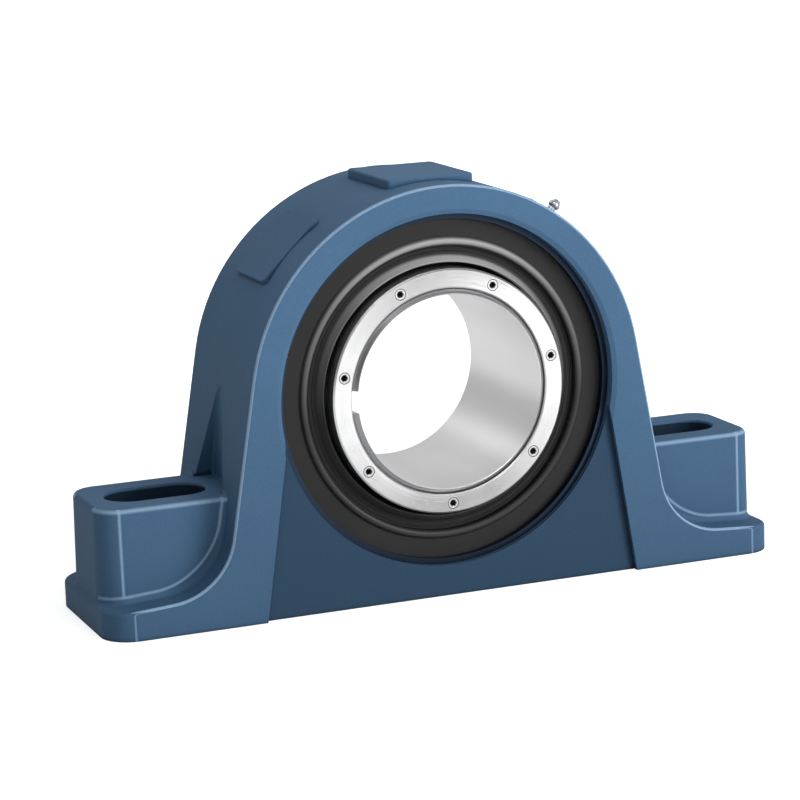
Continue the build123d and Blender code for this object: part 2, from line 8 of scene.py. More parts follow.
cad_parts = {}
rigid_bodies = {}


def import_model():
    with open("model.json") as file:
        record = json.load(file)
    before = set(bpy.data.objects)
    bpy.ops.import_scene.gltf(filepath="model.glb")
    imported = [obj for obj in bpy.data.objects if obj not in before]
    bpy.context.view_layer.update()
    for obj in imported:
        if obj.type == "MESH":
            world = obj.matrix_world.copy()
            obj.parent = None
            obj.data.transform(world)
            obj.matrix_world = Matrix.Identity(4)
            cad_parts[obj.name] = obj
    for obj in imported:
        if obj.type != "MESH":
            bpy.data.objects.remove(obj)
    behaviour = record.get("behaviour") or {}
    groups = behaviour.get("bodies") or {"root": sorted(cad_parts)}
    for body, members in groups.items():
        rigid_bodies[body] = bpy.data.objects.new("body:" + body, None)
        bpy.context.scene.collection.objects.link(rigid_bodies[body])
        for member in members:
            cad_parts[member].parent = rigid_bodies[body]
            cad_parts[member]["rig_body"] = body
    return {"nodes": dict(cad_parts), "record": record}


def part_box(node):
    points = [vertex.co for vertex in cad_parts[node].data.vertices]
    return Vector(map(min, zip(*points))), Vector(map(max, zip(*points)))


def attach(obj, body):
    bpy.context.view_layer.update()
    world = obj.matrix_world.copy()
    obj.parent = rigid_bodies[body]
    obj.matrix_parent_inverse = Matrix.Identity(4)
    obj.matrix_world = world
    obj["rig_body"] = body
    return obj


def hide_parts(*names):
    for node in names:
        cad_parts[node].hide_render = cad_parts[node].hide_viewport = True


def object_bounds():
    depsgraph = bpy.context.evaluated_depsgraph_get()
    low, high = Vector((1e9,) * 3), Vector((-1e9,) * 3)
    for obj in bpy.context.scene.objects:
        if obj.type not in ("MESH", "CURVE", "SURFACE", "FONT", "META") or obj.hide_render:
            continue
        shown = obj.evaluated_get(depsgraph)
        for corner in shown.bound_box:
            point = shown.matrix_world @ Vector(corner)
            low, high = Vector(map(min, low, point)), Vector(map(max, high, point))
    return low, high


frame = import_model()

bl_info = {
    "name": "Pillow Block Bearing",
    "version": (1, 0, 0),
    "blender": (4, 5, 0),
    "location": "3D View > Sidebar > Pillow Block",
    "description": "Dresses a pillow block with paint, turned steel, rubber and screws on a studio floor",
    "category": "Object",
}

cad_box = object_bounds()
mounts = {mount["name"]: mount for mount in frame["record"]["mounts"]}
shaft_point = Vector(mounts["shaft_bore"]["pos_m"])
axis_height = shaft_point.z
base_length = cad_box[1][0] - cad_box[0][0]
mm = 0.001
bore_radius = mounts["shaft_bore"]["dims"]["r_mm"] * mm
bolt_slots = mounts["base_slots"]

# The casting, as its paint follows it
front_reach = -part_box("housing")[0][1]
side_slope = radians(10.0)
flange_slope = radians(4.0)
panel_slope = radians(8.9)
flange_top = 14.5 * mm
panel_half_width = 103 * mm
panel_top = axis_height - 18.4 * mm
pad_height = bolt_slots["pos_m"][2]
pad_half_depth = 30.5 * mm
slot_centre = bolt_slots["dims"]["spacing_x_mm"] / 2 * mm
slot_half_length = bolt_slots["dims"]["slot_length_mm"] / 2 * mm
slot_half_width = bolt_slots["dims"]["hole_r_mm"] * mm
pocket_half_width = 22.1 * mm
pocket_height = 60 * mm
pocket_floor = 106.8 * mm


def mid_and_reach(node):
    """Middle and half extents of a CAD node."""
    low, high = (Vector(corner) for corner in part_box(node))
    return (low + high) / 2, (high - low) / 2


class PaintSettings(bpy.types.PropertyGroup):
    colour: bpy.props.FloatVectorProperty(
        name="Colour", description="Body colour of the housing's paint", subtype="COLOR",
        size=3, min=0, max=1, default=(0.074, 0.154, 0.266))
    grain: bpy.props.FloatProperty(
        name="Casting grain", description="Size of the sand grain that shows through the paint",
        unit="LENGTH", default=1.3 * mm, min=0.1 * mm)
    grain_depth: bpy.props.FloatProperty(
        name="Grain depth", description="Depth of the casting's grain",
        unit="LENGTH", default=0.16 * mm, min=0)
    # Painted shade: how much the paint darkens towards the floor.
    floor_shade: bpy.props.FloatProperty(
        name="Grime", description="How much the paint darkens towards the floor",
        subtype="FACTOR", default=0.38, min=0, max=1)
    # Painted shade: how much darker the recessed panels are painted.
    panel_shade: bpy.props.FloatProperty(
        name="Panel shade", description="How much darker the recessed panels are",
        subtype="FACTOR", default=0.88, min=0, max=1)
    # Painted highlight along the edges: how far they are lifted to the highlight colour.
    painted_highlight: bpy.props.FloatProperty(
        name="Edge wear", description="How far the paint is rubbed to its worn colour along its edges",
        subtype="FACTOR", default=0.7, min=0, max=1)
    # Colour of the painted highlight along the edges.
    edge_highlight_colour: bpy.props.FloatVectorProperty(
        name="Worn colour", description="Colour of the paint where it is rubbed thin", subtype="COLOR",
        size=3, min=0, max=1, default=(0.34, 0.50, 0.70))


class SteelSettings(bpy.types.PropertyGroup):
    collar_colour: bpy.props.FloatVectorProperty(
        name="Collar", description="Colour of the machined collar", subtype="COLOR",
        size=3, min=0, max=1, default=(0.80, 0.80, 0.805))
    bore_colour: bpy.props.FloatVectorProperty(
        name="Sleeve", description="Colour of the sleeve's bore", subtype="COLOR",
        size=3, min=0, max=1, default=(0.88, 0.88, 0.88))
    # Painted shade: the colour of the sleeve's coned nose, which lies in shadow behind the collar.
    nose_shade_colour: bpy.props.FloatVectorProperty(
        name="Sleeve's nose", description="Colour of the sleeve's coned front end", subtype="COLOR",
        size=3, min=0, max=1, default=(0.36, 0.36, 0.37))
    blued_colour: bpy.props.FloatVectorProperty(
        name="Blued steel", description="Colour of the retaining rings", subtype="COLOR",
        size=3, min=0, max=1, default=(0.030, 0.045, 0.075))
    turning: bpy.props.FloatProperty(
        name="Turning marks", description="Distance between the marks that the lathe left",
        unit="LENGTH", default=0.35 * mm, min=0.05 * mm)


class SealSettings(bpy.types.PropertyGroup):
    colour: bpy.props.FloatVectorProperty(
        name="Rubber", description="Colour of the seal rings", subtype="COLOR",
        size=3, min=0, max=1, default=(0.017, 0.017, 0.0175))
    # Painted highlight on the upper half of the seals' bead and lip: its colour.
    crest_highlight_colour: bpy.props.FloatVectorProperty(
        name="Rubbed crests", description="Colour of the seals' crests, where they are rubbed",
        subtype="COLOR", size=3, min=0, max=1, default=(0.36, 0.36, 0.36))
    dust: bpy.props.FloatProperty(
        name="Dust", description="How much dust lies in the seals' hollows",
        subtype="FACTOR", default=0.3, min=0, max=1)


class ScrewSettings(bpy.types.PropertyGroup):
    pitch: bpy.props.FloatProperty(
        name="Thread pitch", description="Distance between two crests of the thread",
        unit="LENGTH", default=1.0 * mm, min=0.2 * mm)
    thread_depth: bpy.props.FloatProperty(
        name="Thread depth", description="Height of the thread", unit="LENGTH", default=0.35 * mm)
    socket: bpy.props.FloatProperty(
        name="Socket", description="Width of the hexagon socket across its flats",
        unit="LENGTH", default=3.0 * mm)
    socket_depth: bpy.props.FloatProperty(
        name="Socket depth", description="Depth of the hexagon socket", unit="LENGTH", default=3.5 * mm)


class StageSettings(bpy.types.PropertyGroup):
    soft_light: bpy.props.FloatProperty(
        name="Soft light", description="Strength of the light from all round", default=0.42, min=0)
    left_level: bpy.props.FloatProperty(
        name="Left side", description="Share of that light on the left", subtype="FACTOR", default=0.17,
        min=0, max=1)
    top_level: bpy.props.FloatProperty(
        name="Top", description="Share of that light from above", subtype="FACTOR", default=0.5,
        min=0, max=1)
    rear_level: bpy.props.FloatProperty(
        name="Rear", description="Share of that light from behind", subtype="FACTOR", default=0.6,
        min=0, max=1)
    floor_glow: bpy.props.FloatProperty(
        name="Floor", description="How far the floor is lifted to white", subtype="FACTOR", default=0.62,
        min=0, max=1)
    azimuth: bpy.props.FloatProperty(
        name="Azimuth", description="Where the camera stands round the part", subtype="ANGLE",
        default=radians(-21.58))
    elevation: bpy.props.FloatProperty(
        name="Elevation", description="Height of the camera above the horizon", subtype="ANGLE",
        default=radians(11.99))
    roll: bpy.props.FloatProperty(
        name="Roll", description="Lean of the camera", subtype="ANGLE", default=radians(-1.97))
    distance: bpy.props.FloatProperty(
        name="Distance", description="From the camera to the bore's front end", unit="LENGTH",
        default=1479.24 * mm)
    lens: bpy.props.FloatProperty(
        name="Lens", description="Focal length in millimetres on a 36 mm sensor", default=131.48)
    offset: bpy.props.FloatVectorProperty(
        name="Offset", size=2, default=(0.0641, -0.0096),
        description="Where the bore's centre lies in the picture, right and down of its middle")


class PillowBlockSettings(bpy.types.PropertyGroup):
    paint: bpy.props.PointerProperty(type=PaintSettings)
    steel: bpy.props.PointerProperty(type=SteelSettings)
    seal: bpy.props.PointerProperty(type=SealSettings)
    screw: bpy.props.PointerProperty(type=ScrewSettings)
    stage: bpy.props.PointerProperty(type=StageSettings)


def settings():
    """The part's settings in this scene."""
    return bpy.context.scene.pillow_block


class Value:
    """A socket of a shader tree, so that maths over a surface is written as an expression."""

    def __init__(self, finish, socket):
        self.finish = finish
        self.socket = socket

    def maths(self, operation, first, second):
        node = self.finish.node("ShaderNodeMath", {"operation": operation}, {0: first, 1: second})
        return Value(self.finish, node.outputs[0])

    def __add__(self, other):
        return self.maths("ADD", self, other)

    __radd__ = __add__

    def __sub__(self, other):
        return self.maths("SUBTRACT", self, other)

    def __rsub__(self, other):
        return self.maths("SUBTRACT", other, self)

    def __mul__(self, other):
        return self.maths("MULTIPLY", self, other)

    __rmul__ = __mul__

    def __truediv__(self, other):
        return self.maths("DIVIDE", self, other)

    def __abs__(self):
        return self.maths("ABSOLUTE", self, 0.0)

    def at_least(self, floor):
        return self.maths("MAXIMUM", self, floor)

    def at_most(self, ceiling):
        return self.maths("MINIMUM", self, ceiling)

    def __lt__(self, other):
        return self.maths("LESS_THAN", self, other)

    def __gt__(self, other):
        return self.maths("GREATER_THAN", self, other)


class Shading:
    """The nodes of a material or world under way."""

    def __init__(self, holder):
        self.holder = holder
        holder.use_nodes = True
        self.tree = holder.node_tree
        self.tree.nodes.clear()

    def node(self, kind, choices=None, values=None):
        """A node of one kind: its settings first, then the values or links of its sockets."""
        made = self.tree.nodes.new(kind)
        for key, choice in (choices or {}).items():
            if key == "stops":
                self.set_stops(made.color_ramp, choice)
            else:
                setattr(made, key, choice)
        for key, value in (values or {}).items():
            if isinstance(value, Value):
                self.tree.links.new(value.socket, made.inputs[key])
            else:
                made.inputs[key].default_value = value
        return made

    def set_stops(self, ramp, stops):
        """Gives a ramp its stops, each a position and a grey level."""
        while len(ramp.elements) < len(stops):
            ramp.elements.new(1.0)
        for element, (position, level) in zip(ramp.elements, stops):
            element.position = position
            element.color = (level, level, level, 1)

    def take(self, node, output=0):
        """A node's output as a value."""
        return Value(self, node.outputs[output])

    def ramp(self, value, *stops):
        """The value put through a ramp of grey levels."""
        return self.take(self.node("ShaderNodeValToRGB", {"stops": stops}, {"Fac": value}), "Color")

    def mix(self, factor, first, second):
        """Mix of two colours, as colour tuples or links."""
        node = self.node("ShaderNodeMix", {"data_type": "RGBA"}, {0: factor, 6: first, 7: second})
        return Value(self, node.outputs[2])

    def split(self, vector):
        """The three numbers of a vector."""
        node = self.node("ShaderNodeSeparateXYZ", None, {0: vector})
        return [self.take(node, index) for index in range(3)]

    def vector_maths(self, operation, *values):
        node = self.node("ShaderNodeVectorMath", {"operation": operation}, dict(enumerate(values)))
        return self.take(node, "Value" if operation == "LENGTH" else 0)

    def length(self, x, y):
        """Length of the flat vector (x, y)."""
        return self.vector_maths("LENGTH", self.take(self.node("ShaderNodeCombineXYZ", None, {0: x, 1: y})))

    def seen_by(self, *rays):
        """1 for these kinds of ray and 0 for the others."""
        path = self.node("ShaderNodeLightPath")
        return sum(self.take(path, f"Is {ray} Ray") for ray in rays)

    def close(self, shader):
        """Links the last shader to the output."""
        in_world = isinstance(self.holder, bpy.types.World)
        output = self.node("ShaderNodeOutputWorld" if in_world else "ShaderNodeOutputMaterial")
        self.tree.links.new(shader.outputs[0], output.inputs[0])
        return self.holder


class Finish(Shading):
    """A material, with short forms for what this part's finishes share."""

    def __init__(self, name):
        super().__init__(bpy.data.materials.new(name))
        self.place = self.take(self.node("ShaderNodeTexCoord"), "Object")

    def noise(self, size, detail=3.0, roughness=0.5, place=None):
        """Soft noise, from 0 to 1, whose features are about this size in metres."""
        values = {"Vector": place or self.place, "Scale": 1 / size, "Detail": detail,
                  "Roughness": roughness}
        return self.take(self.node("ShaderNodeTexNoise", None, values), "Fac")

    def about_shaft(self):
        """Distance from the shaft's axis, place along it, and the direction out from it."""
        centred = self.vector_maths("SUBTRACT", self.place, (0, 0, axis_height))
        flat = self.vector_maths("MULTIPLY", centred, (1, 0, 1))
        radius = self.vector_maths("LENGTH", flat)
        along = self.split(centred)[1]
        return radius, along, self.vector_maths("NORMALIZE", flat)

    def turning_marks(self, radius, along):
        """Fine noise that runs round the shaft's axis, as a lathe leaves it."""
        line = self.take(self.node("ShaderNodeCombineXYZ", None, {0: radius, 1: along}))
        return self.noise(settings().steel.turning, 2.0, 0.6, line)

    def edges(self, distance):
        """1 on a sharp outer edge, falling to 0 this far from it."""
        node = self.node("ShaderNodeAmbientOcclusion", {"samples": 8, "inside": True},
                         {"Distance": distance})
        return 1 - self.take(node, "AO")

    def creases(self, distance):
        """0 deep in a crease and 1 on open ground."""
        node = self.node("ShaderNodeAmbientOcclusion", {"samples": 6}, {"Distance": distance})
        return self.take(node, "AO")

    def stripe(self, value, centre, reach):
        """1 where the value is at the centre, falling to 0 this far from it."""
        return (1 - abs(value - centre) / reach).at_least(0.0)

    def bump(self, height, distance):
        """A normal that follows this height, from 0 to 1, over this distance."""
        return self.take(self.node("ShaderNodeBump", None, {"Height": height, "Distance": distance}))

    def surface(self, **values):
        """Ends the material with its shader. Names use an underscore for a space."""
        sockets = {key.replace("_", " "): value for key, value in values.items()}
        return self.close(self.node("ShaderNodeBsdfPrincipled", None, sockets))


def rgba(colour, level=1.0):
    """A colour, lighter or darker by a level, in the form that a socket takes."""
    return (colour[0] * level, colour[1] * level, colour[2] * level, 1)


def rim_highlight(finish, across, depth, height):
    """1 along the outline of the front and rear faces, outside the opening and the panel: a painted
    highlight goes there.
    """
    opening_rim = 100 * mm
    beside = 4 * mm
    below = 1.6 * mm
    start = 0.12 * mm
    narrow = 0.16 * mm
    wide = 1.36 * mm
    from_axis = finish.length(across, (height - axis_height).at_least(0.0))
    beside_panel = across + height * tan(panel_slope) > panel_half_width + beside
    above_panel = height > panel_top - below
    outside = (from_axis > opening_rim) * (above_panel + beside_panel).at_most(1.0)
    upper = height > flange_top
    rounding = (depth > start) * (depth < start + narrow + upper * (wide - narrow))
    return rounding * outside * (0.5 + upper * 0.5)


def pad_highlights(finish, across, depth, height):
    """1 along the top edges, outer corners and hollow feet of the foot pads, where highlight lines are
    painted.
    """
    leg_line = 127.6 * mm
    flange_line = 30.3 * mm
    bend = 28.8 * mm
    corner_line = 172.3 * mm
    inner_end = 112 * mm
    middle = front_reach - depth
    from_leg = leg_line + bend - (across * cos(side_slope) + height * sin(side_slope))
    from_flange = flange_line + bend - (across * sin(flange_slope) + height * cos(flange_slope))
    hollow = finish.length(from_leg.at_least(0.0), from_flange.at_least(0.0))
    on_wall = middle > 20 * mm
    # Painted highlight lines: the pads' top edges, the foot of their walls and a line down each rounded
    # outer corner.
    top = finish.stripe(height, pad_height - 1.1 * mm, 1.5 * mm) * (middle < pad_half_depth + 0.4 * mm)
    foot = finish.stripe(hollow, bend, 1.2 * mm) * on_wall
    corner = finish.stripe(across, corner_line, 1.1 * mm) * (hollow < bend) * on_wall
    on_pad = (across > inner_end) * (depth > 5 * mm) * (middle > slot_half_width + 1.6 * mm)
    return on_pad * (height < pad_height - 0.1 * mm) * (top + foot + corner)


def bolt_slot(across, middle, height):
    """1 inside the two bolt slots."""
    lengthwise = abs(across - slot_centre) < slot_half_length + 1.25 * mm
    widthwise = middle < slot_half_width + 0.8 * mm
    return lengthwise * widthwise * (height < pad_height - 1.6 * mm)


def pocket_ground(finish, across, middle, height):
    """1 on the flat floor of the two bolt pockets, over the pads."""
    floor = (finish.stripe(across, pocket_floor, 0.6 * mm) * 3.0).at_most(1.0)
    inside = (height > pad_height - 0.5 * mm) * (height < pad_height + pocket_height - 13 * mm)
    return floor * (middle < pocket_half_width + 0.2 * mm) * inside


def panel_ground(across, depth, height):
    """1 on the recessed panels of the front and rear faces."""
    sunk = (depth > 2 * mm) * (depth < 5 * mm)
    between = across + height * tan(panel_slope) < panel_half_width + 2 * mm
    return sunk * between * (height < panel_top + 1.4 * mm)


def housing_paint():
    """Satin blue enamel over sand-cast iron, with painted highlights on edges and painted shade in corners,
    slots, panels and foot.
    """
    paint = settings().paint
    finish = Finish("housing_enamel")
    grain = finish.noise(paint.grain, 3.0, 0.55)
    swell = finish.noise(9 * paint.grain, 2.0)
    cloud = finish.noise(base_length / 6, 3.0)
    speck = finish.ramp(finish.noise(0.55 * paint.grain, 2.0), (0.55, 0.0), (0.75, 1.0))
    # Painted shade in the concave corners, from ambient occlusion over 9 mm.
    corner = finish.ramp(finish.creases(9 * mm), (0.40, 1.0), (0.95, 0.0))
    # Painted shade: thin dark lines along the concave creases, such as the panels' edges.
    line = finish.ramp(finish.creases(3.2 * mm), (0.45, 1.0), (0.80, 0.0))
    x, y, height = finish.split(finish.place)
    across = abs(x)
    middle = abs(y)
    depth = front_reach - middle
    # Painted shade towards the floor: strongest at the floor, gone at 1.3 times the axis height.
    low = finish.ramp(height / (1.3 * axis_height), (0.0, 1.0), (1.0, 0.0))
    panel = panel_ground(across, depth, height)
    # The inside of the bolt slots, darkened with painted shade.
    shaded_slot = bolt_slot(across, middle, height)
    # Painted light: the pocket floors are lightened against the shade in the pockets.
    pocket_painted_light = pocket_ground(finish, across, middle, height)
    # Painted highlight along the faces' outline and the pads' edges, corners and feet.
    edge = rim_highlight(finish, across, depth, height) + pad_highlights(finish, across, depth, height)
    rubbed = edge.at_most(1.0) * (0.75 + grain * 0.5)
    # Painted shade in the creases, kept off the pocket floors, and inside the bolt slots.
    dark = (line * (1 - pocket_painted_light) * 0.75 + shaded_slot * 0.9).at_most(1.0)
    shaded = rgba(paint.colour, 0.38)
    colour = finish.mix(cloud, rgba(paint.colour, 0.88), rgba(paint.colour, 1.10))
    colour = finish.mix(speck * 0.2, colour, rgba(paint.colour, 1.8))
    # Painted shade towards the floor.
    colour = finish.mix(low * paint.floor_shade, colour, shaded)
    # Painted shade on the recessed panels.
    colour = finish.mix(panel * paint.panel_shade, colour, shaded)
    # Painted shade in the concave corners.
    colour = finish.mix(corner * 0.15, colour, shaded)
    # Painted light on the pocket floors.
    colour = finish.mix(pocket_painted_light * 0.5, colour, rgba(paint.colour, 1.25))
    # Painted shade in the creases and the bolt slots.
    colour = finish.mix(dark, colour, rgba(paint.colour, 0.12))
    # Painted highlight along the edges.
    colour = finish.mix(rubbed * paint.painted_highlight, colour, rgba(paint.edge_highlight_colour))
    return finish.surface(
        Base_Color=colour,
        Roughness=0.54 + (grain - 0.5) * 0.22,
        Specular_IOR_Level=0.06,
        Normal=finish.bump(grain * 0.7 + swell * 0.9, paint.grain_depth),
    )


def turned_steel(name, colour, roughness, depth):
    """Steel turned on a lathe: fine rings, a painted highlight in sectors left and right, lighter along its
    edges.
    """
    finish = Finish(name)
    radius, along, outward = finish.about_shaft()
    rings = finish.turning_marks(radius, along)
    smear = finish.noise(14 * mm, 4.0)
    sideways = finish.split(outward)[0]
    # Painted highlight: brighter to the left and right of the shaft's axis, as a turned face reflects.
    side_highlight = (sideways * sideways + (smear - 0.5) * 0.3).at_least(0.0).at_most(1.0)
    tone = finish.mix(side_highlight, rgba(colour, 0.58), rgba(colour, 1.08))
    tone = finish.mix(finish.edges(0.8 * mm) * 0.4, tone, rgba(colour, 1.25))
    return finish.surface(
        Base_Color=tone,
        Metallic=1.0,
        Roughness=roughness + (rings - 0.5) * 0.16 + (smear - 0.5) * 0.12,
        Normal=finish.bump(rings, depth),
    )


def bored_sleeve():
    """The sleeve's steel: honed bore with long soft bands of painted reflection, and a coned nose darkened
    with painted shade.
    """
    steel = settings().steel
    front_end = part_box("stepped_sleeve")[0][1]
    cone_length = 2.6 * mm
    finish = Finish("bored_sleeve")
    radius, along, outward = finish.about_shaft()
    rings = finish.turning_marks(radius, along)
    # Painted reflection: soft lighter and darker bands that run along the bore.
    reflection_bands = finish.noise(0.55, 2.0, 0.5, outward)
    nose = (along < front_end + cone_length) * (radius > bore_radius + 0.35 * mm)
    tone = finish.mix(reflection_bands, rgba(steel.bore_colour, 0.88), rgba(steel.bore_colour, 1.14))
    # Painted shade on the sleeve's coned nose.
    tone = finish.mix(nose, tone, rgba(steel.nose_shade_colour))
    return finish.surface(
        Base_Color=tone,
        Metallic=1.0,
        Roughness=0.34 + (rings - 0.5) * 0.14 - nose * 0.08,
        Normal=finish.bump(rings, 0.006 * mm),
    )


def bright_screw():
    """Bright screw steel, with painted shade that makes it black down in its socket and in its thread."""
    finish = Finish("bright_screw")
    smear = finish.noise(2.5 * mm, 3.0)
    # Painted shade in the socket and the thread, from ambient occlusion.
    hollow = finish.ramp(finish.creases(2.4 * mm), (0.50, 1.0), (0.92, 0.0))
    tone = finish.mix(smear, rgba((0.62, 0.62, 0.62)), rgba((0.80, 0.80, 0.80)))
    tone = finish.mix(hollow, tone, rgba((0.012, 0.012, 0.013)))
    return finish.surface(
        Base_Color=tone,
        Metallic=1.0,
        Roughness=0.34 + (smear - 0.5) * 0.12,
        Normal=finish.bump(smear, 0.01 * mm),
    )


def ground_steel(name, colour, roughness):
    """Plain ground or polished steel with faint scratches."""
    finish = Finish(name)
    smear = finish.noise(5 * mm, 4.0)
    scratch = finish.noise(0.3 * mm, 2.0)
    tone = finish.mix(smear, rgba(colour, 0.9), rgba(colour, 1.06))
    return finish.surface(
        Base_Color=tone,
        Metallic=1.0,
        Roughness=roughness + (smear - 0.5) * 0.12,
        Normal=finish.bump(scratch, 0.01 * mm),
    )


def seal_rubber(name, colour, roughness):
    """Moulded black rubber or black coated steel: painted highlight on the upper half of its bead and lip,
    dust in its hollows, a slight gloss.
    """
    seal = settings().seal
    bead_radius = 76.0 * mm
    lip_radius = 66.4 * mm
    outer_face = 34.2 * mm
    finish = Finish(name)
    skin = finish.noise(0.7 * mm, 3.0)
    bloom = finish.noise(22 * mm, 3.0)
    hollow = 1 - finish.creases(4 * mm)
    radius, along, outward = finish.about_shaft()
    bead = finish.stripe(radius, bead_radius, 2.4 * mm)
    lip = finish.stripe(radius, lip_radius, 2.8 * mm) * 1.6
    forward = abs(along) > outer_face
    # Painted highlight: strongest on the upper half of the ring, weak below.
    upward = finish.ramp(finish.split(outward)[2] * 0.5 + 0.5, (0.42, 0.06), (0.80, 0.45), (1.0, 1.0))
    crest_highlight = finish.ramp(bead.at_least(lip), (0.05, 0.0), (0.70, 1.0)) * upward * forward
    tone = finish.mix(bloom, rgba(colour, 0.82), rgba(colour, 1.25))
    tone = finish.mix(hollow * seal.dust * 0.4, tone, rgba((0.06, 0.059, 0.057)))
    # Painted highlight on the upper half of the bead and lip.
    tone = finish.mix(crest_highlight, tone, rgba(seal.crest_highlight_colour))
    return finish.surface(
        Base_Color=tone,
        Roughness=roughness + (bloom - 0.5) * 0.12,
        Specular_IOR_Level=0.22,
        Normal=finish.bump(skin, 0.03 * mm),
    )


def cage_brass():
    """Machined brass of the cages."""
    finish = Finish("machined_brass")
    smear = finish.noise(6 * mm, 3.0)
    tone = finish.mix(smear, rgba((0.60, 0.40, 0.14)), rgba((0.74, 0.53, 0.22)))
    return finish.surface(Base_Color=tone, Metallic=1.0, Roughness=0.3 + smear * 0.14,
                          Normal=finish.bump(smear, 0.02 * mm))


def plain_mesh(piece, name):
    """Replaces a piece's mesh by what its modifiers make of it."""
    graph = bpy.context.evaluated_depsgraph_get()
    made = bpy.data.meshes.new_from_object(piece.evaluated_get(graph))
    piece.modifiers.clear()
    piece.data = made
    made.name = name


def welded_copy(node, name):
    """A copy of a CAD node whose loose triangles are joined."""
    piece = bpy.data.objects.new(name, frame["nodes"][node].data.copy())
    bpy.context.scene.collection.objects.link(piece)
    weld = piece.modifiers.new("weld", "WELD")
    weld.merge_threshold = 0.002 * mm
    plain_mesh(piece, name)
    return piece


def dress_cast(node, material, name, crease):
    """A node with flat and rounded faces, smooth between its creases, in its finish."""
    piece = welded_copy(node, name)
    flats = piece.modifiers.new("flats", "DECIMATE")
    flats.decimate_type = "DISSOLVE"
    flats.angle_limit = radians(0.3)
    plain_mesh(piece, name)
    piece.data.shade_smooth()
    piece.data.set_sharp_from_angle(angle=radians(crease))
    shading = piece.modifiers.new("shading", "WEIGHTED_NORMAL")
    shading.weight = 80
    shading.keep_sharp = True
    plain_mesh(piece, name)
    return finish_piece(piece, [node], material)


def dress_turned(node, material, name, crease=30.0):
    """A node turned about the shaft's axis, shaded as truly round, in its finish."""
    piece = welded_copy(node, name)
    shade_turned(piece.data, crease)
    return finish_piece(piece, [node], material)


def about_axis(point):
    """Directions out from the shaft's axis and round it, at a point."""
    outward = Vector((point.x, 0, point.z - axis_height)).normalized()
    return outward, Vector((outward.z, 0, -outward.x))


def shade_turned(mesh, crease):
    """Gives each corner the normal that a lathe would leave there. Cut faces stay flat."""
    cut_limit = 0.12
    mesh.shade_smooth()
    slopes = []
    for face in mesh.polygons:
        outward, onward = about_axis(face.center)
        turned = abs(face.normal.dot(onward)) < cut_limit
        slopes.append(Vector((face.normal.dot(outward), face.normal.y)) if turned else None)
    around = [[] for vertex in mesh.vertices]
    for face in mesh.polygons:
        for vertex in face.vertices:
            around[vertex].append(face)
    nearness = cos(radians(crease))
    normals = []
    for face in mesh.polygons:
        own = slopes[face.index]
        for vertex in face.vertices:
            if own is None:
                normals.append(face.normal.copy())
                continue
            blend = Vector((0, 0))
            for other in around[vertex]:
                slope = slopes[other.index]
                if slope is not None and slope.dot(own) > nearness:
                    blend += slope * other.area
            blend.normalize()
            outward, onward = about_axis(mesh.vertices[vertex].co)
            normals.append(outward * blend.x + Vector((0, blend.y, 0)))
    mesh.normals_split_custom_set(normals)


def finish_piece(piece, nodes, material):
    """Material, body and record for a piece that stands for some CAD nodes of one body."""
    piece.data.materials.clear()
    piece.data.materials.append(material)
    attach(piece, frame["nodes"][nodes[0]]["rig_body"])
    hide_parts(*nodes)
    return piece


class LoopMesh:
    """A skin that grows loop by loop, each loop a ring of as many points."""

    def __init__(self, count):
        self.count = count
        self.points = []
        self.faces = []

    def add(self, place):
        """Adds a ring. place gives a point for an angle."""
        start = len(self.points)
        self.points += [place(tau * index / self.count) for index in range(self.count)]
        if start:
            self.bridge(start - self.count, start)

    def bridge(self, first, second):
        """Joins the rings that begin at these two points."""
        for index in range(self.count):
            after = (index + 1) % self.count
            self.faces.append((first + index, first + after, second + after, second + index))

    def join_ends(self):
        """Joins the last ring to the first, for a closed section."""
        self.bridge(len(self.points) - self.count, 0)

    def cap_ends(self):
        """Closes the first and the last ring with a face each."""
        last = len(self.points) - self.count
        self.faces.append(tuple(range(self.count)))
        self.faces.append(tuple(range(last, last + self.count)))

    def mesh(self, name, crease):
        """The finished mesh: faces outwards, smooth between its creases."""
        made = bpy.data.meshes.new(name)
        made.from_pydata(self.points, [], self.faces)
        shell = bmesh.new()
        shell.from_mesh(made)
        bmesh.ops.recalc_face_normals(shell, faces=shell.faces)
        shell.to_mesh(made)
        shell.free()
        made.shade_smooth()
        made.set_sharp_from_angle(angle=radians(crease))
        return made


def arc(place, radius, reach, start, end, steps):
    """Points on a round part of a section, about (place, radius). At 0 degrees it is furthest out."""
    turns = [radians(start + (end - start) * step / steps) for step in range(steps + 1)]
    return [(place + reach * sin(turn), radius + reach * cos(turn)) for turn in turns]


def seat_arc(reach, start, end, steps):
    """Points on a ball about the bearing's centre, between two places along the shaft."""
    places = [start + (end - start) * step / steps for step in range(steps + 1)]
    return [(place, sqrt(reach ** 2 - place ** 2)) for place in places]


def turn_section(name, section, side):
    """Turns a closed section about the shaft's axis, at the front (-1) or the rear (1) end.

    Its corners are (millimetres from the bearing's middle, millimetres from the axis).
    """
    points_round = 256
    crease = 32
    skin = LoopMesh(points_round)
    for place, radius in section:
        skin.add(lambda angle: (
            radius * mm * sin(angle), side * place * mm, axis_height + radius * mm * cos(angle)))
    skin.join_ends()
    piece = bpy.data.objects.new(name, skin.mesh(name, crease))
    bpy.context.scene.collection.objects.link(piece)
    return piece


